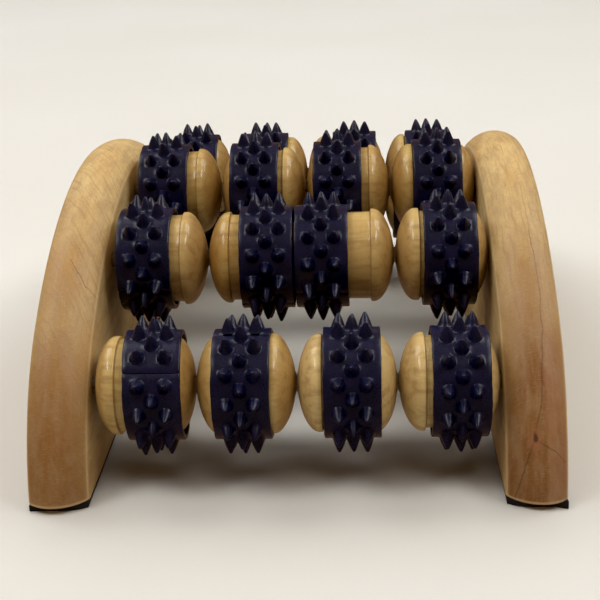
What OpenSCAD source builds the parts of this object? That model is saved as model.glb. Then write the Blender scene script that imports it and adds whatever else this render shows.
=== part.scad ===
// Foot massage roller: two arched wooden side panels joined by five steel rods.
// Each rod carries four wooden beads that spin freely, and each bead wears a
// spiked rubber band. Units are millimetres, X runs along the rods, +Z is up and
// the origin is the middle of the footprint, on the surface that it stands on.

/* [Side panels] */
// Clear width between the two panels
inner_gap = 121; // [121:1:130]
// Thickness of one panel
panel_t = 17.5; // [15:0.5:22]
// Length of a panel at its crowned ends
panel_l = 241; // [238:1:250]
// Height of the top of the arch
panel_top = 78; // [76:1:84]
// Radius of the long top arc
top_r = 160; // [152:1:175]
// Radius of the two end arcs
end_r = 66; // [50:1:70]
// How far the edge face is crowned across the thickness
crown = 4.2; // [2:0.2:5]
// Rounding of the long edges
arris_r = 1.2; // [0.8:0.1:2.4]
// How much farther the edge face is set back at the inner face than at its middle
edge_tilt = 1.2; // [0:0.1:1.5]

/* [Rods] */
// Diameter of a rod
rod_d = 5; // [4:0.5:6]
// Depth of a rod's blind hole in a panel
seat_depth = 9.5; // [6:0.5:12]
// Gap between a rod's end and the bottom of its hole
seat_gap = 0.5; // [0.2:0.1:1]
// Radius of the arc that the rods lie on
row_r = 155; // [150:1:160]
// Angle between neighbouring rods on that arc
row_angle = 19; // [18.5:0.1:19.5]
// Height of the middle rod
row_top_z = 63; // [62:0.5:64]

/* [Beads] */
// Diameter of a bead over its two ridges
bead_d = 29.8; // [28:0.2:30]
// Length of a bead
bead_l = 29.5; // [28:0.1:29.6]
// Spacing of the beads along a rod
bead_pitch = 29.9; // [29.8:0.1:30]
// Length of a bead's domed end
dome_l = 6.3; // [5:0.1:7]
// Fullness of the dome, 2 is an ellipse
dome_power = 1.9; // [1.6:0.1:2.4]
// Width of the turned groove in the middle
groove_w = 14.9; // [12:0.1:15]
// Depth of that groove
groove_depth = 0.9; // [0.4:0.1:1.2]
// Radial clearance of the bore on the rod
bore_clearance = 0.1; // [0.05:0.01:0.1]

/* [Bands] */
// Width of a rubber band
band_w = 17; // [15:0.5:17]
// Gap between the bead's ridge and the band
band_clearance = 0.05; // [0.02:0.01:0.1]
// Thickness of the band under its spikes
band_t = 1.45; // [1:0.05:2]
// Height of a spike above the band
spike_h = 4.6; // [3:0.1:5]
// Diameter of a spike at its foot
spike_d = 4.7; // [4:0.1:5]
// Diameter of a spike at its tip
spike_tip_d = 0.8; // [0.4:0.1:1.2]
// Spacing of the three rows of spikes across a band
spike_pitch = 4; // [3.6:0.1:4.2]
// Number of spikes in one row round a band
spike_count = 12; // [10:1:14]

/* [Foot strips] */
// Thickness of the anti-slip strip under a panel
strip_t = 2; // [1:0.5:3]
// Width of a strip
strip_w = 17; // [13:0.1:17.4]
// Length of a strip
strip_l = 235; // [225:1:237]

/* [Hidden] */
$fn = 64;

// how far each row of beads has slid along its rod, front row first
ROW_SHIFT = [0.4, 0.8, 0.8, -0.3, 0.5];
// how far each band has crept along its bead
BAND_SHIFT = [
    [3.6, -0.7, 1.5, 2.9],
    [-4.2, 4.4, -8.2, 2.2],
    [-4.2, -2.6, -3.6, 1.2],
    [1.8, -1.0, 3.4, 1.6],
    [-1.6, 2.4, 0.6, -3.0]];
// where each band's outer spikes stand, in degrees from the top towards the front
BAND_TURN = [
    [8, 28, 9, 17],
    [13, 10, 21, 9],
    [6, 5, 7, 10],
    [18, 22, 5, 27],
    [3, 14, 25, 11]];

half_t = panel_t / 2;
panel_x = inner_gap / 2 + half_t;
rod_l = inner_gap + 2 * (seat_depth - seat_gap);
bead_r = bead_d / 2;
bore_r = rod_d / 2 + bore_clearance;
band_in_r = bead_r + band_clearance;
band_out_r = band_in_r + band_t;
spike_sink = 0.5;

// centres of the top arc and of an end arc, and the angle where they meet
top_cz = panel_top - top_r;
end_cy = panel_l / 2 - end_r;
end_cz = top_cz + sqrt(pow(top_r - end_r, 2) - pow(end_cy, 2));
meet_angle = atan2(end_cy, end_cz - top_cz);

// slices across a panel, crowded towards its two faces
SLICES = 7;
TOP_STEPS = 14;
END_STEPS = 9;

// how far the edge is set in at u, from -1 on the left face to 1 on the right;
// side is -1 for the left panel and 1 for the right one
function edge_inset(side, u) =
    let (d = (1 - abs(u)) * half_t)
    crown * pow(abs(u), 2.2) - side * edge_tilt * u
    + (d < arris_r ? arris_r - sqrt(pow(arris_r, 2) - pow(arris_r - d, 2)) : 0);

// half of a panel's outline from the apex down to the sole, as [y, z]
function half_outline(inset) = concat(
    [for (i = [0:TOP_STEPS - 1]) let (a = meet_angle * i / TOP_STEPS)
        [(top_r - inset) * sin(a), top_cz + (top_r - inset) * cos(a)]],
    let (last = acos((strip_t - end_cz) / (end_r - inset)))
    [for (i = [0:END_STEPS]) let (a = meet_angle + (last - meet_angle) * i / END_STEPS)
        [end_cy + (end_r - inset) * sin(a), end_cz + (end_r - inset) * cos(a)]]);

function outline(inset) =
    let (half = half_outline(inset), n = len(half))
    concat([for (i = [n - 1:-1:1]) [-half[i][0], half[i][1]]], half);

function row_y(row) = row_r * sin(row_angle * (row - 3));
function row_z(row) = row_top_z - row_r * (1 - cos(row_angle * (row - 3)));
function bead_x(row, col) = bead_pitch * (col - 2.5) + ROW_SHIFT[row - 1];

// an arched board with crowned edges, centred on X = 0
module panel_blank(side) {
    n = 2 * (TOP_STEPS + END_STEPS) + 1;
    rings = 2 * SLICES + 1;
    points = [for (k = [-SLICES:SLICES]) let (u = sin(90 * k / SLICES))
        for (p = outline(edge_inset(side, u))) [u * half_t, p[0], p[1]]];
    sides = [for (k = [0:rings - 2], i = [0:n - 1])
        let (a = k * n + i, b = k * n + (i + 1) % n)
        each [[a, a + n, b + n], [a, b + n, b]]];
    caps = [[for (i = [0:n - 1]) i], [for (i = [n - 1:-1:0]) (rings - 1) * n + i]];
    polyhedron(points, concat(sides, caps));
}

module panel(side) {
    color("burlywood")
    difference() {
        translate([side * panel_x, 0, 0]) panel_blank(side);
        for (row = [1:5])
            translate([side * inner_gap / 2, row_y(row), row_z(row)])
                rotate([0, side * 90, 0])
                    translate([0, 0, -1]) cylinder(d = rod_d, h = seat_depth + 1);
    }
}

module foot_strip(side) {
    color("black")
    translate([side * panel_x - strip_w / 2, -strip_l / 2, 0])
        cube([strip_w, strip_l, strip_t]);
}

module rod(row) {
    color("silver")
    translate([-rod_l / 2, row_y(row), row_z(row)])
        rotate([0, 90, 0]) cylinder(d = rod_d, h = rod_l);
}

// half of a bead's section from the groove out to the bore, as [radius, along]
function bead_half() =
    let (ridge = bead_l / 2 - dome_l, groove_r = bead_r - groove_depth, steps = 10)
    concat(
        [[groove_r, groove_w / 2 - 0.4], [bead_r, groove_w / 2]],
        [for (i = [0:steps]) let (t = i / steps * 0.985)
            [bead_r * pow(1 - pow(t, dome_power), 1 / dome_power), ridge + t * dome_l]],
        [[bore_r, bead_l / 2]]);

module bead(row, col) {
    half = bead_half();
    color("wheat")
    translate([bead_x(row, col), row_y(row), row_z(row)])
        rotate([0, 90, 0])
            rotate_extrude()
                polygon(concat(half,
                    [for (i = [len(half) - 1:-1:0]) [half[i][0], -half[i][1]]]));
}

module spike() {
    translate([0, 0, band_out_r - spike_sink])
        cylinder(d1 = spike_d + spike_sink * (spike_d - spike_tip_d) / spike_h,
                 d2 = spike_tip_d, h = spike_h + spike_sink);
}

module band(row, col) {
    step = 360 / spike_count;
    turn = BAND_TURN[row - 1][col - 1];
    color("midnightblue")
    translate([bead_x(row, col) + BAND_SHIFT[row - 1][col - 1], row_y(row), row_z(row)])
        union() {
            rotate([0, 90, 0])
                rotate_extrude()
                    translate([band_in_r, -band_w / 2]) square([band_t, band_w]);
            for (i = [0:spike_count - 1], line = [-1:1])
                translate([line * spike_pitch, 0, 0])
                    rotate([turn + step * (i + (line == 0 ? 0.5 : 0)), 0, 0]) spike();
        }
}

panel(-1);  // left_panel
panel(1);  // right_panel
foot_strip(-1);  // left_foot_strip
foot_strip(1);  // right_foot_strip
for (row = [1:5])
    rod(row);
for (row = [1:5], col = [1:4])
    bead(row, col);
for (row = [1:5], col = [1:4])
    band(row, col);
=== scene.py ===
import math
import random

import bmesh
import bpy
from mathutils import Matrix, Vector, geometry, noise


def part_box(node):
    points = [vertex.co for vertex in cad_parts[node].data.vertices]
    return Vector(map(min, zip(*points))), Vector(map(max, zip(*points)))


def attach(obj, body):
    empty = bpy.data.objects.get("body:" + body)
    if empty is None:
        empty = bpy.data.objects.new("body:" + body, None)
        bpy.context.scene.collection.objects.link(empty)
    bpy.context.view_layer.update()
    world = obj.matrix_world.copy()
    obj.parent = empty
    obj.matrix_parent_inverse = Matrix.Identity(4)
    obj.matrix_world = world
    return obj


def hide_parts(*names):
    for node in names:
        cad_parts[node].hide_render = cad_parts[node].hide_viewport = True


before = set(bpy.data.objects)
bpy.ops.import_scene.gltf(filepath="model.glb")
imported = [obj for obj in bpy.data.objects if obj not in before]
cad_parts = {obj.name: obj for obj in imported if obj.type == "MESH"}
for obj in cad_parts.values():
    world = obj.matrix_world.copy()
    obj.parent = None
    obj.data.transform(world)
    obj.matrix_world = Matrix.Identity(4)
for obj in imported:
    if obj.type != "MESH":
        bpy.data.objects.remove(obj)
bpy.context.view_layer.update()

MM = 0.001
SIDES = {-1: "left", 1: "right"}
ROWS = range(1, 6)
COLS = range(1, 5)

# ---- sizes, in mm, on top of what the frame's boxes give ----

# side panel: a long top arc between two end arcs
TOP_R = 160
END_R = 66
PANEL_TOP = 78
PANEL_HALF_L = 120.5
# its edge face: how far it is crowned and how late, how much farther it is set back at the inner
# face than at its middle, and the rounding of the two long edges and of the lower edge
CROWN = 4.2
CROWN_POWER = 2.2
EDGE_TILT = 1.2
ARRIS_R = 1.2
SOLE_R = 0.8
# distances from the middle of the board's thickness: the edge face's marks fade out from the
# first one, and the flat faces lie beyond the second one
MARKS_FADE_FROM = 8.5
FLAT_FROM = 8.74
# how deep the edge face is rubbed unevenly, and the pale line along its arrises, wear with a
# painted highlight: its distance from the flat face and how far it reaches to each side of that
RUB = 0.10
WORN_HIGHLIGHT_DEPTH = 0.3
WORN_HIGHLIGHT_REACH = 0.28

# foot strip: spacing of the points along its outline, how much shorter its inner side is cut, and
# the torn front corner of the right one: its reach, and how far it stands forward, out and up
STRIP_STEP = 1.6
STRIP_TRIM = 2.2
TORN_REACH = 3.2
TORN_FORWARD = 1.5
TORN_OUT = 0.15
TORN_UP = 0.8

# bead: two ridges with a turned groove between them, domed ends and a bore
GROOVE_W = 14.9
GROOVE_DEPTH = 0.9
DOME_L = 6.3
BORE_R = 2.6

# share of paler wood in a bead; the beads that aren't listed get a small seeded share
PALE_BEADS = {(1, 1): 0.12, (1, 2): 0.15, (1, 3): 0.5, (1, 4): 0.4, (2, 1): 0.2}

# band: a ring with three staggered lines of spikes
BAND_IN_R = 14.98
BAND_OUT_R = 16.4
SPIKE_TIP_R = 21.0
SPIKE_FOOT_R = 2.35
SPIKE_PITCH = 4
SPIKE_COUNT = 12
SPIKE_STEP = 2 * math.pi / SPIKE_COUNT
# unevenness of a band's two lips: how far they are set in and how far they flare
LIP_INSET = 0.18
LIP_FLARE = 0.16

# the cut across a band: the gap between its two ends, how deep and how far from the cut they
# slope down, and how near to it a spike's middle may stand
SEAM_GAP = 0.2
SEAM_DEPTH = 0.32
SEAM_SLOPE = 0.7
SEAM_CLEAR = 1.6

# the one seam that faces forward, in degrees from the top towards the front; the others lie
# at a seeded place, between spikes
SEAM_TURNS = {(1, 1): 54.5}
# how far the back of a band sits to the left of its front; the bands that aren't listed get a
# small seeded skew
BAND_SKEWS = {(1, 1): 1.3}


# ---- mesh helpers ----

def add_piece(name, verts, faces, material, body, replaced):
    """A smooth-shaded mesh piece from points in mm, riding on a body in place of a CAD node."""
    mesh = bpy.data.meshes.new(name)
    mesh.from_pydata([Vector(v) * MM for v in verts], [], faces)
    mesh.validate()
    mesh.polygons.foreach_set("use_smooth", [True] * len(mesh.polygons))
    mesh.materials.append(material)
    piece = bpy.data.objects.new(name, mesh)
    bpy.context.scene.collection.objects.link(piece)
    recalculate_normals(mesh)
    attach(piece, body)
    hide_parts(replaced)
    return piece


def recalculate_normals(mesh):
    bm = bmesh.new()
    bm.from_mesh(mesh)
    bmesh.ops.recalc_face_normals(bm, faces=bm.faces)
    bm.to_mesh(mesh)
    bm.free()


def sharpen(mesh, degrees):
    """Edges that turn by more than this stay crisp."""
    bm = bmesh.new()
    bm.from_mesh(mesh)
    for edge in bm.edges:
        if len(edge.link_faces) == 2 and edge.calc_face_angle(0) > math.radians(degrees):
            edge.smooth = False
    bm.to_mesh(mesh)
    bm.free()


def store_numbers(mesh, name, values):
    """Stores one number per point, for the materials to read."""
    mesh.attributes.new(name, "FLOAT", "POINT")
    mesh.attributes[name].data.foreach_set("value", values)


def store_vectors(mesh, name, vectors):
    """Stores one vector per point, for the materials to read."""
    mesh.attributes.new(name, "FLOAT_VECTOR", "POINT")
    mesh.attributes[name].data.foreach_set("vector", [part for vector in vectors for part in vector])


def set_grain(mesh, fibre, origin, end_power):
    """Stores wood coordinates in mm, x along the fibres, and how much a point shows end grain."""
    fibre = Vector(fibre).normalized()
    side = fibre.orthogonal().normalized()
    up = fibre.cross(side)
    places = [v.co / MM - Vector(origin) for v in mesh.vertices]
    store_vectors(mesh, "grain", [(p.dot(fibre), p.dot(side), p.dot(up)) for p in places])
    store_numbers(mesh, "end_grain", [abs(v.normal.dot(fibre)) ** end_power for v in mesh.vertices])


def box_mm(node):
    low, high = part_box(node)
    return low / MM, high / MM


def wobble(p, size):
    """Smooth noise between -1 and 1 that changes over about this many mm."""
    return noise.noise(Vector(p) / size)


# ---- node materials ----

class Shader:
    """Builds one Principled material, a node at a time."""

    def __init__(self, name):
        self.material = bpy.data.materials.new(name)
        self.material.use_nodes = True
        self.tree = self.material.node_tree
        self.tree.nodes.clear()
        output = self.node("ShaderNodeOutputMaterial")
        self.bsdf = self.node("ShaderNodeBsdfPrincipled")
        self.link(self.bsdf.outputs["BSDF"], output.inputs["Surface"])

    def node(self, kind, **settings):
        made = self.tree.nodes.new(kind)
        for key, value in settings.items():
            setattr(made, key, value)
        return made

    def link(self, source, target):
        self.tree.links.new(source, target)

    def put(self, target, value):
        if isinstance(value, bpy.types.NodeSocket):
            self.link(value, target)
        else:
            target.default_value = value

    def set(self, name, value):
        self.put(self.bsdf.inputs[name], value)

    def attribute(self, name, output):
        return self.node("ShaderNodeAttribute", attribute_name=name).outputs[output]

    def position(self):
        return self.node("ShaderNodeTexCoord").outputs["Object"]

    def position_mm(self):
        return self.vector("MULTIPLY", self.position(), (1 / MM, 1 / MM, 1 / MM))

    def math(self, operation, a, b=0.0, clamp=False):
        made = self.node("ShaderNodeMath", operation=operation, use_clamp=clamp)
        self.put(made.inputs[0], a)
        self.put(made.inputs[1], b)
        return made.outputs[0]

    def times(self, a, b):
        return self.math("MULTIPLY", a, b)

    def vector(self, operation, a, b=(0, 0, 0)):
        made = self.node("ShaderNodeVectorMath", operation=operation)
        self.put(made.inputs[0], a)
        self.put(made.inputs[1], b)
        return made.outputs["Value" if operation in ("LENGTH", "DISTANCE", "DOT_PRODUCT") else "Vector"]

    def along(self, place, direction):
        return self.vector("DOT_PRODUCT", place, direction)

    def noise(self, vector, scale=(1, 1, 1), detail=3.0, roughness=0.55, output="Fac"):
        made = self.node("ShaderNodeTexNoise")
        self.put(made.inputs["Vector"], self.vector("MULTIPLY", vector, scale))
        made.inputs["Scale"].default_value = 1.0
        made.inputs["Detail"].default_value = detail
        made.inputs["Roughness"].default_value = roughness
        return made.outputs[output]

    def ramp(self, value, low, high, to_low=0.0, to_high=1.0):
        made = self.node("ShaderNodeMapRange", interpolation_type="SMOOTHSTEP")
        self.put(made.inputs["Value"], value)
        self.put(made.inputs["From Min"], low)
        self.put(made.inputs["From Max"], high)
        self.put(made.inputs["To Min"], to_low)
        self.put(made.inputs["To Max"], to_high)
        return made.outputs["Result"]

    def patches(self, place, scale, low, high, weak=0.0, strong=1.0, detail=3.0, roughness=0.55):
        """Mask that goes from weak to strong where noise goes from low to high."""
        return self.ramp(self.noise(place, scale, detail, roughness), low, high, weak, strong)

    def warp(self, place, scale, reach, detail):
        """Moves a place by smooth noise, by up to half of reach each way."""
        drift = self.noise(place, scale, detail=detail, output="Color")
        drift = self.vector("SUBTRACT", drift, (0.5, 0.5, 0.5))
        return self.vector("ADD", place, self.vector("MULTIPLY", drift, reach))

    def mix(self, factor, a, b, blend="MIX"):
        made = self.node("ShaderNodeMix", data_type="RGBA", blend_type=blend)
        self.put(made.inputs[0], factor)
        self.put(made.inputs[6], a)
        self.put(made.inputs[7], b)
        return made.outputs[2]

    def bump(self, height, distance, strength=1.0):
        made = self.node("ShaderNodeBump")
        made.inputs["Strength"].default_value = strength
        made.inputs["Distance"].default_value = distance
        self.put(made.inputs["Height"], height)
        return made.outputs["Normal"]


def wood_material(name, pale, honey, line, end_grain_and_shade_tone, end_full, ring_mm, line_strength, lacquer, finish):
    """Solid wood: growth rings, fibres, pores and mottling, cut by the real shape.

    finish(s, colour, relief, line) adds what the surface shows, on the panels with the arrises' painted
    highlight. Where end_grain reaches end_full, the colour is multiplied by the end tone: darker end
    grain, and on the panels painted shade of their low end faces as well.
    """
    s = Shader(name)
    grain = s.attribute("grain", "Vector")
    warped = s.warp(grain, (0.008, 0.035, 0.035), (0, 14, 14), detail=2)
    radius = s.vector("LENGTH", s.vector("MULTIPLY", warped, (0, 1, 1)))
    rings = s.math("FRACT", s.math("DIVIDE", radius, ring_mm))
    patchy = s.patches(grain, (0.01, 0.06, 0.06), 0.35, 0.7, weak=0.35)
    late = s.times(s.times(s.math("POWER", rings, 5.0), patchy), line_strength)
    fibre = s.noise(grain, (0.12, 3.2, 3.2), detail=4, roughness=0.65)
    pore = s.patches(grain, (0.35, 5.5, 5.5), 0.66, 0.74, detail=2)
    broad = s.patches(grain, (0.012, 0.07, 0.07), 0.3, 0.7)
    mottle = s.patches(grain, (0.16, 0.22, 0.22), 0.35, 0.68, strong=0.45, detail=4, roughness=0.6)
    speckle = s.patches(grain, (0.9, 1.3, 1.3), 0.45, 0.72, strong=0.22, roughness=0.7)
    colour = s.mix(broad, pale, honey)
    colour = s.mix(mottle, colour, honey)
    colour = s.mix(speckle, colour, line)
    colour = s.mix(late, colour, line)
    colour = s.mix(s.ramp(fibre, 0.3, 0.75, 0.0, 0.16), colour, line)
    colour = s.mix(s.times(pore, 0.3), colour, line)
    end = s.attribute("end_grain", "Fac")
    # end grain darkens the colour; on the panels this tone also paints the shade of their low end faces
    colour = s.mix(s.ramp(end, 0.0, end_full), colour, end_grain_and_shade_tone, "MULTIPLY")
    relief = s.math("SUBTRACT", s.times(fibre, 0.5), s.times(pore, 0.7))
    colour, relief = finish(s, colour, relief, line)
    s.set("Base Color", colour)
    s.set("Roughness", s.ramp(fibre, 0.2, 0.8, 0.38, 0.55))
    s.set("Specular IOR Level", 0.25)
    s.set("Coat Weight", lacquer)
    s.set("Coat Roughness", 0.12)
    s.set("Normal", s.bump(relief, 0.06 * MM, 0.8))
    return s.material


# ---- panel wood ----

SMUDGE = (0.30, 0.19, 0.10, 1)
PALE_FLECK = (0.74, 0.54, 0.29, 1)
PINK_WOOD = (0.40, 0.22, 0.12, 1)
DARK_GRAIN = (0.075, 0.032, 0.012, 1)
KNOT_HALO = (0.30, 0.12, 0.06, 1)
# pale arrises and sole edge: wear, with a painted highlight
WORN_AND_HIGHLIT_WOOD = (0.80, 0.60, 0.34, 1)

# what each edge face shows, by side. Places are (across, along) in mm from the panel's apex
# towards its front end. Figures are directions of the faint figure.
FIGURES = {-1: (0.5, 0.85), 1: (0.05, 1.0)}
# dark grain lines: points, a width and a strength
GRAIN_LINES = {
    -1: [([(-0.4, 73), (2.6, 77.6), (5.3, 81.5), (8.7, 82.4)], 0.34, 0.4)],
    1: [([(2.4, 37), (2.6, 67)], 0.26, 0.25),
        ([(2.6, 67), (3.1, 88), (2.2, 111)], 0.28, 0.38),
        ([(2.2, 111), (0.9, 126), (-0.9, 134)], 0.34, 0.45),
        ([(-0.9, 134), (-4.2, 143), (-8.5, 153)], 0.34, 0.5),
        ([(-0.9, 135.4), (2.4, 137.0), (7.4, 139.6)], 0.34, 0.4)]}
KNOTS = {-1: None, 1: (-0.9, 134.5)}
# the corner beyond which the wood turns pinker
PINK_CORNERS = {-1: None, 1: (2.4, 84)}
# the tone of the end grain, darker wood that also holds painted shade of the low end faces, and how
# much end grain shows it fully
END_GRAIN_AND_SHADE_TONES = {-1: ((0.44, 0.30, 0.20, 1), 0.95), 1: ((0.34, 0.20, 0.115, 1), 0.76)}


def panel_place(s):
    """(across, along) on the edge face or (z, y) on a flat face, and the distance from the middle
    of the board's thickness, all in mm."""
    edge_place = s.attribute("edge_place", "Vector")
    off_middle = s.math("ABSOLUTE", s.along(edge_place, (1, 0, 0)))
    point = s.position_mm()
    height = s.vector("MULTIPLY", s.along(point, (0, 0, 1)), (1, 0, 0))
    on_face = s.vector("ADD", height, s.vector("MULTIPLY", point, (0, 1, 0)))
    place = s.mix(s.ramp(off_middle, FLAT_FROM - 0.02, FLAT_FROM), edge_place, on_face)
    return place, off_middle


def faint_figure(s, place, run):
    """Long soft stripes in one direction of the (across, along) plane."""
    across_run = s.along(place, (run[1], -run[0], 0))
    along_run = s.along(place, (run[0], run[1], 0))
    figure = s.vector("ADD", s.vector("MULTIPLY", across_run, (1.0, 0, 0)),
                      s.vector("MULTIPLY", along_run, (0, 0.06, 0)))
    return s.patches(figure, (1, 1, 1), 0.48, 0.68, strong=0.4)


def grain_line(s, place, start, end, width):
    """Mask of a thin straight line between two points of the (across, along) plane, in mm."""
    run = Vector((end[0] - start[0], end[1] - start[1], 0))
    rise = s.vector("SUBTRACT", place, (start[0], start[1], 0))
    t = s.math("MULTIPLY", s.along(rise, tuple(run)), 1 / run.length_squared, clamp=True)
    foot = s.vector("MULTIPLY", t, tuple(run))
    return s.ramp(s.vector("DISTANCE", rise, foot), 0.3 * width, width, 1.0, 0.0)


def pink_corner(s, place, bent, corner):
    """Mask that grows outwards and downwards from a corner of the edge face."""
    beyond = s.ramp(s.along(bent, (1, 0, 0)), corner[0] - 0.4, corner[0] + 0.8)
    lower = s.ramp(s.along(place, (0, 1, 0)), corner[1], corner[1] + 45)
    return s.times(beyond, lower)


def panel_finish(figure_run, lines, knot, pink):
    """Sanded edge face of a panel: a faint figure, smudges, flecks, dashes and fine streaks, then
    a pinker corner, dark grain lines, a knot and pale arrises from wear with a painted highlight.
    The flat faces show the smudges and little of the rest."""
    def finish(s, colour, relief, line):
        place, off_middle = panel_place(s)
        edge_share = s.ramp(off_middle, FLAT_FROM - 0.1, FLAT_FROM, 1.0, 0.15)
        inside = s.ramp(off_middle, MARKS_FADE_FROM, MARKS_FADE_FROM + 0.2, 1.0, 0.0)
        bent = s.warp(place, (0.25, 0.12, 0), (2, 2, 0), detail=3)
        colour = s.mix(s.times(faint_figure(s, bent, figure_run), edge_share), colour, line)
        smudge = s.patches(place, (0.26, 0.075, 0), 0.4, 0.66, strong=0.46, detail=5, roughness=0.62)
        colour = s.mix(smudge, colour, SMUDGE)
        fleck = s.patches(place, (0.5, 3.4, 0), 0.52, 0.72, strong=0.11, detail=2)
        colour = s.mix(s.times(fleck, edge_share), colour, PALE_FLECK)
        elsewhere = s.vector("ADD", place, (31, 7, 0))
        dash = s.patches(elsewhere, (0.7, 3.0, 0), 0.52, 0.72, strong=0.14, detail=2)
        colour = s.mix(s.times(dash, edge_share), colour, line)
        streak = s.patches(place, (3.0, 0.08, 0), 0.48, 0.72, strong=0.3)
        colour = s.mix(s.times(streak, edge_share), colour, line)
        if pink:
            share = s.times(pink_corner(s, place, bent, pink), s.times(inside, 0.3))
            colour = s.mix(share, colour, PINK_WOOD)
        for points, width, strength in lines:
            for start, end in zip(points, points[1:]):
                mask = s.times(s.times(grain_line(s, bent, start, end, width), inside), strength)
                colour = s.mix(mask, colour, DARK_GRAIN)
                relief = s.math("SUBTRACT", relief, mask)
        if knot:
            reach = s.vector("MULTIPLY", s.vector("SUBTRACT", bent, (knot[0], knot[1], 0)), (1.2, 0.5, 0))
            spot = s.ramp(s.vector("LENGTH", reach), 0.35, 1.0, 1.0, 0.0)
            halo = s.ramp(s.vector("LENGTH", reach), 0.6, 3.0, 0.45, 0.0)
            colour = s.mix(halo, colour, KNOT_HALO)
            colour = s.mix(s.times(spot, 0.9), colour, DARK_GRAIN)
            relief = s.math("SUBTRACT", relief, s.times(spot, 3))
        # the pale arrises: wear, with a painted highlight along them
        worn_and_highlit = s.attribute("arris", "Fac")
        colour = s.mix(s.times(worn_and_highlit, 0.4), colour, WORN_AND_HIGHLIT_WOOD)
        return colour, relief
    return finish


def panel_wood(side):
    end_grain_and_shade_tone, end_full = END_GRAIN_AND_SHADE_TONES[side]
    return wood_material(
        SIDES[side] + " panel wood", pale=(0.63, 0.485, 0.225, 1), honey=(0.53, 0.355, 0.14, 1),
        line=(0.24, 0.13, 0.05, 1), end_grain_and_shade_tone=end_grain_and_shade_tone, end_full=end_full, ring_mm=5.2,
        line_strength=0.14, lacquer=0.0,
        finish=panel_finish(FIGURES[side], GRAIN_LINES[side], KNOTS[side], PINK_CORNERS[side]))


# ---- bead wood, rubber, steel and backdrop ----

PALE_BEAD_WOOD = (0.68, 0.53, 0.25, 1)


def turned_finish(s, colour, relief, line):
    """Turned on a lathe: each bead with its share of paler wood, streaks along its fibres, and
    faint tool rings round it that the grain breaks up."""
    grain = s.attribute("grain", "Vector")
    colour = s.mix(s.attribute("paleness", "Fac"), colour, PALE_BEAD_WOOD)
    streak = s.patches(grain, (0.045, 0.4, 0.4), 0.45, 0.68, strong=0.45, detail=4)
    colour = s.mix(streak, colour, line)
    across = s.vector("MULTIPLY", s.attribute("along", "Fac"), (1, 0, 0))
    tool = s.noise(across, (2.4, 0, 0), detail=3, roughness=0.6)
    broken = s.patches(grain, (0.8, 0.5, 0.5), 0.4, 0.65, weak=0.05, strong=0.34, detail=2)
    colour = s.mix(s.times(s.ramp(tool, 0.5, 0.7), broken), colour, line)
    relief = s.math("ADD", relief, tool)
    return colour, relief


def bead_wood():
    return wood_material(
        "bead wood", pale=(0.50, 0.36, 0.125, 1), honey=(0.40, 0.25, 0.072, 1),
        line=(0.20, 0.095, 0.025, 1), end_grain_and_shade_tone=(0.72, 0.58, 0.40, 1), end_full=0.75, ring_mm=3.1,
        line_strength=0.36, lacquer=0.55, finish=turned_finish)


def rubber_material(name, deep, dusty, rough_low, rough_high):
    """Moulded rubber: faint mottling and a fine skin."""
    s = Shader(name)
    place = s.position_mm()
    cloud = s.noise(place, (0.25, 0.25, 0.25), detail=4)
    skin = s.noise(place, (2.2, 2.2, 2.2), detail=5, roughness=0.7)
    s.set("Base Color", s.mix(s.ramp(cloud, 0.35, 0.7), deep, dusty))
    s.set("Roughness", s.ramp(skin, 0.3, 0.7, rough_low, rough_high))
    s.set("Specular IOR Level", 0.32)
    s.set("Normal", s.bump(skin, 0.05 * MM, 0.5))
    return s.material


def steel_material(name):
    """Drawn steel bar: fine scratches along it and a little tarnish, and a dark colour that is partly
    painted shade.
    """
    s = Shader(name)
    place = s.position_mm()
    drawn = s.noise(place, (0.15, 9, 9), detail=4)
    tarnish = s.noise(place, (0.2, 0.6, 0.6), detail=3)
    # dark steel colours: tarnish, and painted shade for the rods that lie in shade between the beads
    s.set("Base Color", s.mix(s.ramp(tarnish, 0.45, 0.75), (0.32, 0.29, 0.25, 1), (0.15, 0.13, 0.10, 1)))
    s.set("Metallic", 1.0)
    s.set("Roughness", s.ramp(drawn, 0.3, 0.7, 0.34, 0.55))
    s.set("Normal", s.bump(drawn, 0.02 * MM, 0.5))
    return s.material


def backdrop_material(name):
    """Pale paper with a barely visible tooth."""
    s = Shader(name)
    tooth = s.noise(s.position(), (900, 900, 900), detail=4)
    cloud = s.noise(s.position(), (3, 3, 3), detail=2)
    s.set("Base Color", s.mix(s.ramp(cloud, 0.3, 0.7), (0.55, 0.54, 0.50, 1), (0.57, 0.565, 0.535, 1)))
    s.set("Roughness", 0.85)
    s.set("Specular IOR Level", 0.2)
    s.set("Normal", s.bump(tooth, 0.1 * MM, 0.3))
    return s.material


PANEL_WOOD = {side: panel_wood(side) for side in SIDES}
BEAD_WOOD = bead_wood()
BAND_RUBBER = rubber_material(
    "purple rubber", (0.0046, 0.0053, 0.0190, 1), (0.0082, 0.0082, 0.0300, 1), 0.24, 0.38)
FOOT_RUBBER = rubber_material(
    "black foam rubber", (0.008, 0.008, 0.008, 1), (0.016, 0.015, 0.014, 1), 0.6, 0.8)
STEEL = steel_material("drawn steel")
BACKDROP = backdrop_material("pale backdrop")


# ---- side panels ----

PANEL_LOW, PANEL_HIGH = box_mm("left_panel")
PANEL_T = PANEL_HIGH.x - PANEL_LOW.x
SOLE_Z = PANEL_LOW.z
# steps across half a board's thickness, and along its top arc, its end arc and its rounded sole
PANEL_SLICES = 18
TOP_STEPS = 60
END_STEPS = 44
SOLE_STEPS = 5


def edge_inset(side, u):
    """How far the edge face is set in at u, from -1 on the left face to 1 on the right."""
    depth = (1 - abs(u)) * PANEL_T / 2
    inset = CROWN * abs(u) ** CROWN_POWER - side * EDGE_TILT * u
    if depth < ARRIS_R:
        inset += ARRIS_R - math.sqrt(ARRIS_R ** 2 - (ARRIS_R - depth) ** 2)
    return inset


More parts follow.
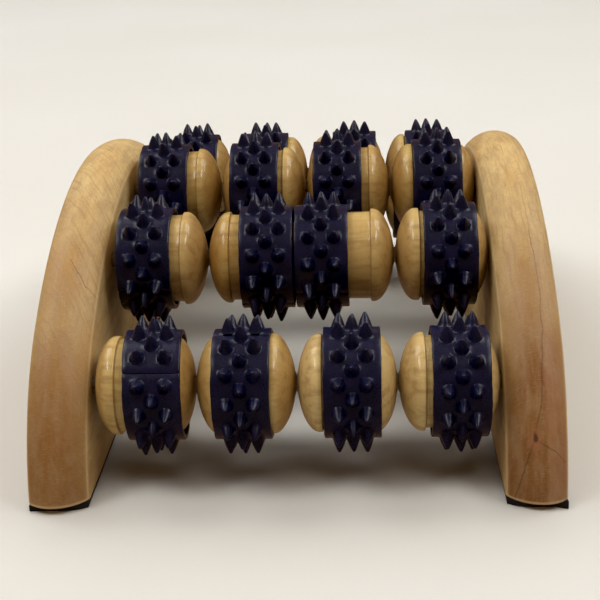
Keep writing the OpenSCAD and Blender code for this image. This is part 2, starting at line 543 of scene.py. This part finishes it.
def half_outline(inset):
    """Half of a panel's outline as (y, z), from the apex down to the sole and its rounded edge."""
    top_cz = PANEL_TOP - TOP_R
    end_cy = PANEL_HALF_L - END_R
    end_cz = top_cz + math.sqrt((TOP_R - END_R) ** 2 - end_cy ** 2)
    meet = math.atan2(end_cy, end_cz - top_cz)
    last = math.acos((SOLE_Z - end_cz) / (END_R - inset))
    points = []
    for i in range(TOP_STEPS):
        a = meet * i / TOP_STEPS
        points.append(((TOP_R - inset) * math.sin(a), top_cz + (TOP_R - inset) * math.cos(a)))
    for i in range(END_STEPS + 1):
        a = meet + (last - meet) * i / END_STEPS
        points.append((end_cy + (END_R - inset) * math.sin(a), end_cz + (END_R - inset) * math.cos(a)))
    heel = points[-1][0]
    points = [(y, z) for y, z in points if z > SOLE_Z + SOLE_R]
    for i in range(SOLE_STEPS + 1):
        a = math.pi / 2 * i / SOLE_STEPS
        points.append((heel - SOLE_R * (1 - math.cos(a)), SOLE_Z + SOLE_R * (1 - math.sin(a))))
    return points


def panel_outline(inset):
    half = half_outline(inset)
    return [(-y, z) for y, z in reversed(half[1:])] + half


def lay_edge_places(mesh, middle, n, rings):
    """Stores each point's place on the edge face in mm, across and along, and the pale arrises: wear with a
    painted highlight.
    """
    places = []
    arrises = []
    for k in range(rings):
        ring = [v.co for v in mesh.vertices[k * n:(k + 1) * n]]
        run = [0.0]
        for a, b in zip(ring, ring[1:]):
            run.append(run[-1] + (b - a).length / MM)
        for point, distance in zip(ring, run):
            across = point.x / MM - middle
            depth = PANEL_T / 2 - abs(across)
            places.append((across, run[n // 2] - distance, 0))
            # a pale line near each long arris and along the sole edge: wear, with a painted highlight
            worn_and_highlit = max(0.0, 1 - abs(depth - WORN_HIGHLIGHT_DEPTH) / WORN_HIGHLIGHT_REACH)
            if point.z / MM < SOLE_Z + SOLE_R:
                worn_and_highlit = 1.0
            arrises.append(worn_and_highlit if depth > 0.01 else 0.0)
    store_vectors(mesh, "edge_place", places)
    store_numbers(mesh, "arris", arrises)


def make_panel(side, node):
    """side is -1 on the left and 1 on the right."""
    low, high = box_mm(node)
    middle = (low.x + high.x) / 2
    verts = []
    for k in range(-PANEL_SLICES, PANEL_SLICES + 1):
        u = math.sin(math.pi / 2 * k / PANEL_SLICES)
        ring = panel_outline(edge_inset(side, u))
        for y, z in ring:
            rub = RUB * (wobble((u * 9, y, z), 22) - 1) * (1 - abs(u) ** 4)
            verts.append((middle + u * PANEL_T / 2,
                          y * (1 + rub / PANEL_HALF_L),
                          z + rub * (z - SOLE_Z) / PANEL_TOP))
    n = len(ring)
    rings = 2 * PANEL_SLICES + 1
    faces = []
    for k in range(rings - 1):
        for i in range(n):
            a, b = k * n + i, k * n + (i + 1) % n
            faces.append((a, a + n, b + n, b))
    caps = [tuple(range(n)), tuple(range((rings - 1) * n, rings * n))]
    piece = add_piece(node + "_board", verts, faces + caps, PANEL_WOOD[side], "frame", node)
    sharpen(piece.data, 32)
    lay_edge_places(piece.data, middle, n, rings)
    set_grain(piece.data, (0.03, 1, 0.05 * side), (middle - side * 26, 0, -30 - 8 * side), 1.0)
    # the flat faces show no end grain
    end = piece.data.attributes["end_grain"].data
    for cap in caps:
        for i in cap:
            end[i].value = 0.0


# ---- foot strips ----

def strip_outline(low, high, rng):
    """A slightly uneven rectangle, cut by hand, as (x, y)."""
    corners = [(low.x, low.y), (high.x, low.y), (high.x, high.y), (low.x, high.y)]
    outline = []
    for i, (x0, y0) in enumerate(corners):
        x1, y1 = corners[(i + 1) % 4]
        steps = int(max(abs(x1 - x0), abs(y1 - y0)) / STRIP_STEP)
        for k in range(steps):
            t = k / steps
            x, y = x0 + (x1 - x0) * t, y0 + (y1 - y0) * t
            cut = 0.1 + (0.16 * wobble((x, y, 5), 3.0) + rng.uniform(-0.05, 0.05))
            inward = Vector(((low.x + high.x) / 2 - x, -y)).normalized()
            outline.append((x + inward.x * cut, y + inward.y * cut))
    return outline


def make_foot_strip(side, node):
    """A strip cut by hand, shorter on its inner side; the right one has a torn outer front corner."""
    low, high = box_mm(node)
    outline = strip_outline(low, high, random.Random(40 + side))
    # heights, and how far the outline is set in there towards the strip's middle
    levels = [(0.0, 0.35), (0.12, 0.1), (0.4, 0.0), (high.z - 0.25, 0.0), (high.z, 0.08)]
    middle_x = (low.x + high.x) / 2
    torn = Vector((high.x, low.y))
    verts = []
    for z, inset in levels:
        for x, y in outline:
            towards = (Vector((middle_x, y * 0.93)) - Vector((x, y))).normalized()
            inner = max(0.0, side * (middle_x - x) / (high.x - middle_x))
            trim = 1 - STRIP_TRIM * inner ** 3 / high.y
            proud = max(0.0, 1 - (Vector((x, y)) - torn).length / TORN_REACH) if side > 0 else 0.0
            ragged = proud * (1 + 0.6 * wobble((x, y, z), 0.9))
            lift = TORN_UP * ragged if z > 0.4 else 0.0
            verts.append((x + towards.x * inset + TORN_OUT * proud,
                          (y + towards.y * inset) * trim - TORN_FORWARD * ragged,
                          z + lift))
    n = len(outline)
    faces = []
    for k in range(len(levels) - 1):
        for i in range(n):
            a, b = k * n + i, k * n + (i + 1) % n
            faces.append((a, b, b + n, a + n))
    faces.append(tuple(reversed(range(n))))
    faces.append(tuple((len(levels) - 1) * n + i for i in range(n)))
    piece = add_piece(node + "_rubber", verts, faces, FOOT_RUBBER, "frame", node)
    sharpen(piece.data, 50)


# ---- beads ----

# steps along half of the groove, along a dome, and round the bead
GROOVE_STEPS = 6
DOME_STEPS = 26
BEAD_SEGMENTS = 112


def bead_profile(radius, half_l, dome_l, power):
    """Half of a bead's section as (along, radius), from the middle of the groove out to the bore."""
    groove_r = radius - GROOVE_DEPTH
    edge = GROOVE_W / 2
    points = []
    for i in range(GROOVE_STEPS + 1):
        t = i / GROOVE_STEPS
        points.append((t * (edge - 0.5), groove_r - 0.12 * math.cos(t * math.pi / 2)))
    # the groove's wall and the ridge's rounded edge
    points += [(edge - 0.34, groove_r + 0.1), (edge - 0.12, radius - 0.22), (edge, radius - 0.06),
               (edge + 0.14, radius)]
    start = half_l - dome_l
    for i in range(DOME_STEPS):
        t = math.sin(math.pi / 2 * i / DOME_STEPS)
        r = radius * (1 - t ** power) ** (1 / power)
        if r > BORE_R + 0.5:
            points.append((start + t * dome_l, r))
    # the bore's rounded mouth and the first stretch of its wall
    points += [(half_l - 0.05, BORE_R + 0.45), (half_l - 0.12, BORE_R + 0.12), (half_l - 0.4, BORE_R),
               (half_l - 3.0, BORE_R)]
    return points


def make_bead(row, col):
    node = f"bead_{row}_{col}"
    low, high = box_mm(node)
    rng = random.Random(100 * row + col)
    centre = (low + high) / 2
    radius = (high.z - low.z) / 2 - rng.uniform(0.0, 0.35)
    half_l = (high.x - low.x) / 2
    profile = bead_profile(radius, half_l, DOME_L * rng.uniform(0.96, 1.06), rng.uniform(1.75, 2.0))
    ring = [(-x, r) for x, r in reversed(profile[1:])] + profile
    n = BEAD_SEGMENTS
    verts = []
    for x, r in ring:
        for i in range(n):
            a = 2 * math.pi * i / n
            verts.append((centre.x + x, centre.y + r * math.sin(a), centre.z + r * math.cos(a)))
    faces = []
    for k in range(len(ring)):
        following = (k + 1) % len(ring) * n
        for i in range(n):
            j = (i + 1) % n
            faces.append((k * n + i, k * n + j, following + j, following + i))
    piece = add_piece(node + "_wood", verts, faces, BEAD_WOOD, f"roller_{row}_{col}", node)
    sharpen(piece.data, 40)
    turn = rng.uniform(0, 2 * math.pi)
    pith = rng.uniform(9, 30)
    origin = (centre.x + rng.uniform(-400, 400),
              centre.y + pith * math.sin(turn),
              centre.z + pith * math.cos(turn))
    fibre = (1, rng.uniform(-0.09, 0.09), rng.uniform(-0.09, 0.09))
    set_grain(piece.data, fibre, origin, 2.5)
    own_stretch = 40 * (4 * row + col)
    store_numbers(piece.data, "along", [v.co.x / MM - centre.x + own_stretch for v in piece.data.vertices])
    pale = PALE_BEADS.get((row, col), rng.uniform(0.0, 0.2))
    store_numbers(piece.data, "paleness", [pale] * len(verts))


# ---- spiked bands ----

# steps round a spike, along a band's lips and across its skin, and columns of points round it
SPIKE_SEGMENTS = 18
LIP_STEPS = 168
SKIN_GAPS = 14
SKIN_COLUMNS = 96


def spike_turn(node, centre):
    """The turn of a band's outer spikes about its rod, in radians, read from its CAD mesh."""
    total = Vector((0, 0))
    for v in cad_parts[node].data.vertices:
        p = v.co / MM - centre
        if math.hypot(p.y, p.z) > SPIKE_TIP_R - 0.1 and abs(p.x) > SPIKE_PITCH / 2:
            a = math.atan2(-p.y, p.z) * SPIKE_COUNT
            total += Vector((math.cos(a), math.sin(a)))
    return math.atan2(total.y, total.x) / SPIKE_COUNT % SPIKE_STEP


def spike_rings(height):
    """(height, radius) up one spike: a small fillet, a straight flank and a rounded tip."""
    return [(0.06, SPIKE_FOOT_R - 0.13), (0.22, SPIKE_FOOT_R - 0.26), (height * 0.22, 1.84),
            (height * 0.42, 1.54), (height * 0.62, 1.17), (height * 0.82, 0.74), (height - 0.3, 0.48),
            (height - 0.11, 0.33), (height - 0.02, 0.16)]


class Band:
    """One band's measures and seeded unevenness, and the points and faces of its mesh.

    The outer skin is laid out flat first: s runs round the band from one side of the cut to the
    other and x runs across it, both in mm.
    """

    def __init__(self, row, col):
        self.node = f"band_{row}_{col}"
        low, high = box_mm(self.node)
        bead_low, bead_high = box_mm(f"bead_{row}_{col}")
        self.centre = Vector(((low.x + high.x) / 2,
                              (bead_low.y + bead_high.y) / 2,
                              (bead_low.z + bead_high.z) / 2))
        self.half_w = (high.x - low.x) / 2
        self.length = 2 * math.pi * BAND_OUT_R - SEAM_GAP
        self.rng = random.Random(1000 + 100 * row + col)
        turn = spike_turn(self.node, self.centre)
        self.seam = turn + SPIKE_STEP * (self.rng.randrange(SPIKE_COUNT) + 0.25)
        if (row, col) in SEAM_TURNS:
            self.seam = math.radians(SEAM_TURNS[row, col])
        self.skew = BAND_SKEWS.get((row, col), self.rng.uniform(-0.3, 0.3))
        self.lip = [self.rng.uniform(-50, 50) for _ in range(3)]
        self.feet = self.spike_feet(turn)
        self.across, self.around = self.layout_lines()
        self.verts = []
        self.faces = []

    def spike_feet(self, turn):
        """Where the spikes stand on the flat layout; the cut's place has none."""
        feet = []
        for line in (-1, 0, 1):
            stagger = 0.5 if line == 0 else 0
            for i in range(SPIKE_COUNT):
                angle = turn + SPIKE_STEP * (i + stagger) - self.seam
                s = angle % (2 * math.pi) * BAND_OUT_R - SEAM_GAP / 2
                if SEAM_CLEAR < s < self.length - SEAM_CLEAR:
                    feet.append((s, line * SPIKE_PITCH))
        return feet

    def layout_lines(self):
        """Where the layout's points lie across and along it, closer at the lips and at the cut."""
        half_w, length = self.half_w, self.length
        across = [-half_w, -half_w + 0.12, -half_w + 0.4]
        across += [-half_w + 0.4 + (2 * half_w - 0.8) * i / SKIN_GAPS for i in range(1, SKIN_GAPS)]
        across += [half_w - 0.4, half_w - 0.12, half_w]
        around = [0, 0.12, 0.28, 0.44]
        around += [length * i / LIP_STEPS for i in range(1, LIP_STEPS)]
        around += [length - 0.44, length - 0.28, length - 0.12, length]
        return across, around

    def angle(self, s):
        return self.seam + (s + SEAM_GAP / 2) / BAND_OUT_R

    def shear(self, angle):
        """How far a skewed band sits to the left at this angle."""
        return self.skew * (0.3 - 0.5 * math.sin(angle))

    def place(self, s, x, r):
        """From the flat layout to the ring, with a soft unevenness along the two lips."""
        angle = self.angle(s)
        edge = abs(x / self.half_w) ** 6
        side = math.copysign(1, x)
        ripple = wobble((s, self.lip[0], side * 9), 7.0) + 0.6 * wobble((s, self.lip[2], side * 3), 1.8)
        flare = LIP_FLARE * edge * wobble((s, self.lip[1], side * 5), 11.0)
        x = x - side * edge * LIP_INSET * (0.8 + ripple) - self.shear(angle)
        slope = max(0.0, 1 - min(s, self.length - s) / SEAM_SLOPE)
        r = r + flare - (SEAM_DEPTH * slope ** 1.5 if r > BAND_OUT_R - 0.5 else 0.0)
        return (self.centre.x + x, self.centre.y - r * math.sin(angle), self.centre.z + r * math.cos(angle))

    def skin_r(self, x):
        """Radius of the outer skin, with its two edges rounded."""
        depth = self.half_w - abs(x)
        return BAND_OUT_R - (0.3 if depth < 0.05 else 0.09 if depth < 0.2 else 0.0)

    def clear_of_feet(self, p, distance):
        return all(math.hypot(p.x - s, p.y - x) > distance for s, x in self.feet)

    def layout_border(self):
        """The flat layout's outline, once round from its lower left corner."""
        border = [(s, -self.half_w) for s in self.around]
        border += [(self.length, x) for x in self.across[1:]]
        border += [(s, self.half_w) for s in reversed(self.around[:-1])]
        border += [(0, x) for x in reversed(self.across[1:-1])]
        return [Vector(p) for p in border]

    def add_skin(self):
        """The outer skin, triangulated round the spikes' feet.

        Returns the mesh's points along the border and round each spike's foot.
        """
        flat = self.layout_border()
        border = range(len(flat))
        edges = [(i, (i + 1) % len(border)) for i in border]
        rings = []
        for s, x in self.feet:
            ring = range(len(flat), len(flat) + SPIKE_SEGMENTS)
            rings.append(ring)
            for k in range(SPIKE_SEGMENTS):
                a = 2 * math.pi * k / SPIKE_SEGMENTS
                reach = min(max(s + SPIKE_FOOT_R * math.cos(a), 0.14), self.length - 0.14)
                flat.append(Vector((reach, x + SPIKE_FOOT_R * math.sin(a))))
            edges += [(ring[k], ring[(k + 1) % SPIKE_SEGMENTS]) for k in range(SPIKE_SEGMENTS)]
        for s in self.around[1:-1]:
            for x in (self.across[1], self.across[2], self.across[-3], self.across[-2]):
                flat.append(Vector((s, x)))
        for i in range(1, SKIN_COLUMNS):
            for k in range(1, SKIN_GAPS):
                s = self.length * (i + 0.5 * (k % 2)) / (SKIN_COLUMNS + 0.5)
                p = Vector((s, self.across[2 + k]))
                if self.clear_of_feet(p, SPIKE_FOOT_R + 0.35):
                    flat.append(p)
        cdt = geometry.delaunay_2d_cdt(flat, edges, [], 1, 1e-5)
        points, triangles, origins = cdt[0], cdt[2], cdt[3]
        new_index = {old: new for new, olds in enumerate(origins) for old in olds}
        for triangle in triangles:
            middle = sum((points[i] for i in triangle), Vector((0, 0))) / 3
            if self.clear_of_feet(middle, SPIKE_FOOT_R * 0.97):
                self.faces.append(tuple(triangle))
        self.verts += [self.place(p.x, p.y, self.skin_r(p.y)) for p in points]
        return [new_index[i] for i in border], [[new_index[i] for i in ring] for ring in rings]

    def add_spike(self, foot, ring):
        """A spike of its own height and lean, grown from its ring of points on the skin."""
        s, x = foot
        angle = self.angle(s)
        out = Vector((0, -math.sin(angle), math.cos(angle)))
        round_way = Vector((0, -math.cos(angle), -math.sin(angle)))
        along = Vector((1, 0, 0))
        height = SPIKE_TIP_R - BAND_OUT_R - self.rng.uniform(0.03, 0.4)
        lean = round_way * self.rng.uniform(-0.22, 0.22) + along * self.rng.uniform(-0.22, 0.22)
        base = self.centre + along * (x - self.shear(angle))
        for h, r in spike_rings(height):
            middle = base + out * (BAND_OUT_R + h) + lean * (h / height) ** 1.5
            upper = []
            for k in range(SPIKE_SEGMENTS):
                a = 2 * math.pi * k / SPIKE_SEGMENTS
                upper.append(len(self.verts))
                self.verts.append(tuple(middle + round_way * (r * math.cos(a)) + along * (r * math.sin(a))))
            for k in range(SPIKE_SEGMENTS):
                j = (k + 1) % SPIKE_SEGMENTS
                self.faces.append((ring[k], ring[j], upper[j], upper[k]))
            ring = upper
        tip = len(self.verts)
        self.verts.append(tuple(base + out * (BAND_OUT_R + height) + lean))
        self.faces += [(ring[k], ring[(k + 1) % SPIKE_SEGMENTS], tip) for k in range(SPIKE_SEGMENTS)]

    def close(self, rim):
        """The inner face, the side walls and the two ends at the cut, from the skin's border."""
        count = len(self.around)
        upper_start = count + len(self.across) - 2
        lower_out = rim[:count]
        upper_out = list(reversed(rim[upper_start:upper_start + count]))
        inner = {}
        for side, x in ((0, -self.half_w), (1, self.half_w)):
            for i, s in enumerate(self.around):
                inner[side, i] = len(self.verts)
                self.verts.append(self.place(s, x, BAND_IN_R))
        for i in range(count - 1):
            self.faces.append((lower_out[i], lower_out[i + 1], inner[0, i + 1], inner[0, i]))
            self.faces.append((upper_out[i], inner[1, i], inner[1, i + 1], upper_out[i + 1]))
            self.faces.append((inner[0, i], inner[0, i + 1], inner[1, i + 1], inner[1, i]))
        far_end = rim[count - 1:upper_start + 1]
        near_end = [rim[0]] + list(reversed(rim[upper_start + count - 1:]))
        self.faces.append(tuple(far_end + [inner[1, count - 1], inner[0, count - 1]]))
        self.faces.append(tuple(near_end + [inner[1, 0], inner[0, 0]]))


def make_band(row, col):
    band = Band(row, col)
    rim, rings = band.add_skin()
    for foot, ring in zip(band.feet, rings):
        band.add_spike(foot, ring)
    band.close(rim)
    piece = add_piece(band.node + "_rubber", band.verts, band.faces, BAND_RUBBER,
                      f"roller_{row}_{col}", band.node)
    sharpen(piece.data, 48)


# ---- the object ----

for side, word in SIDES.items():
    make_panel(side, word + "_panel")
    make_foot_strip(side, word + "_foot_strip")
for row in ROWS:
    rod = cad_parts[f"rod_{row}"]
    rod.data.materials.clear()
    rod.data.materials.append(STEEL)
    for col in COLS:
        make_bead(row, col)
        make_band(row, col)


# ---- stage, light and camera, in metres ----

def make_backdrop():
    """A pale sweep: level floor that curves up into a wall far behind the object."""
    front, bend, radius, top, half = -2.2, 1.3, 0.9, 2.6, 3.0
    steps = 24
    profile = [(front, 0.0), (bend, 0.0)]
    for i in range(1, steps + 1):
        a = math.pi / 2 * i / steps
        profile.append((bend + radius * math.sin(a), radius * (1 - math.cos(a))))
    profile.append((bend + radius, top))
    verts = [(x, y, z) for y, z in profile for x in (-half, half)]
    faces = [(2 * i, 2 * i + 1, 2 * i + 3, 2 * i + 2) for i in range(len(profile) - 1)]
    mesh = bpy.data.meshes.new("backdrop")
    mesh.from_pydata(verts, [], faces)
    mesh.polygons.foreach_set("use_smooth", [True] * len(mesh.polygons))
    mesh.materials.append(BACKDROP)
    sweep = bpy.data.objects.new("backdrop", mesh)
    bpy.context.scene.collection.objects.link(sweep)
    sweep.visible_glossy = False


def add_softbox(name, place, target, size, power, colour, glossy=True):
    """A rectangular light that faces its target; glossy says whether reflections show it."""
    light = bpy.data.lights.new(name, "AREA")
    light.shape = "RECTANGLE"
    light.size, light.size_y = size
    light.energy = power
    light.color = colour
    lamp = bpy.data.objects.new(name, light)
    lamp.visible_glossy = glossy
    lamp.location = place
    lamp.rotation_euler = (Vector(target) - Vector(place)).to_track_quat("-Z", "Y").to_euler()
    bpy.context.scene.collection.objects.link(lamp)


def add_camera(place, yaw, down, roll, lens):
    """Yaw is clockwise from +Y seen from above, down is the tilt below level, in degrees."""
    yaw, down, roll = math.radians(yaw), math.radians(down), math.radians(roll)
    forward = Vector((math.sin(yaw) * math.cos(down), math.cos(yaw) * math.cos(down), -math.sin(down)))
    level = Vector((math.cos(yaw), -math.sin(yaw), 0))
    upright = level.cross(forward)
    right = level * math.cos(roll) + upright * math.sin(roll)
    up = upright * math.cos(roll) - level * math.sin(roll)
    camera = bpy.data.cameras.new("camera")
    camera.lens = lens
    camera.sensor_width = 36
    camera.clip_start = 0.01
    eye = bpy.data.objects.new("camera", camera)
    pose = Matrix((right, up, -forward)).transposed().to_4x4()
    pose.translation = Vector(place)
    eye.matrix_world = pose
    bpy.context.scene.collection.objects.link(eye)
    bpy.context.scene.camera = eye


def add_world(colour, strength):
    world = bpy.data.worlds.new("soft studio")
    world.use_nodes = True
    background = world.node_tree.nodes["Background"]
    background.inputs["Color"].default_value = colour
    background.inputs["Strength"].default_value = strength
    bpy.context.scene.world = world


make_backdrop()
add_softbox("left front softbox", (-0.75, -0.38, 1.1), (0, -0.1, 0), (0.6, 0.35), 4.7, (1.0, 0.995, 0.985))
add_softbox("right front softbox", (0.75, -0.38, 1.1), (0, -0.1, 0), (0.6, 0.35), 5.6, (1.0, 0.995, 0.97))
add_softbox("left rear softbox", (-0.75, 0.42, 1.1), (0, 0.2, 0), (0.6, 0.95), 6, (1.0, 1.0, 0.99))
add_softbox("right rear softbox", (0.75, 0.42, 1.1), (0, 0.2, 0), (0.6, 0.95), 7, (1.0, 1.0, 0.98))
add_softbox("rear softbox", (-0.1, 1.4, 1.2), (0, 0.9, 0), (2.2, 0.9), 18, (0.95, 1.0, 1.04), glossy=False)
add_softbox("front softbox", (-0.2, -0.43, 1.1), (-0.1, -0.2, 0), (1.2, 0.35), 4.9, (1.0, 0.99, 0.95),
            glossy=False)
add_world((1.0, 0.56, 0.30, 1), 0.19)
view = bpy.context.scene.view_settings
view.view_transform = "Standard"
view.use_curve_mapping = True
view.curve_mapping.black_level = (0.003, 0.0025, 0.002)
add_camera((0.0200, -0.4470, 0.1883), yaw=-2.91, down=20.55, roll=-1.95, lens=78)
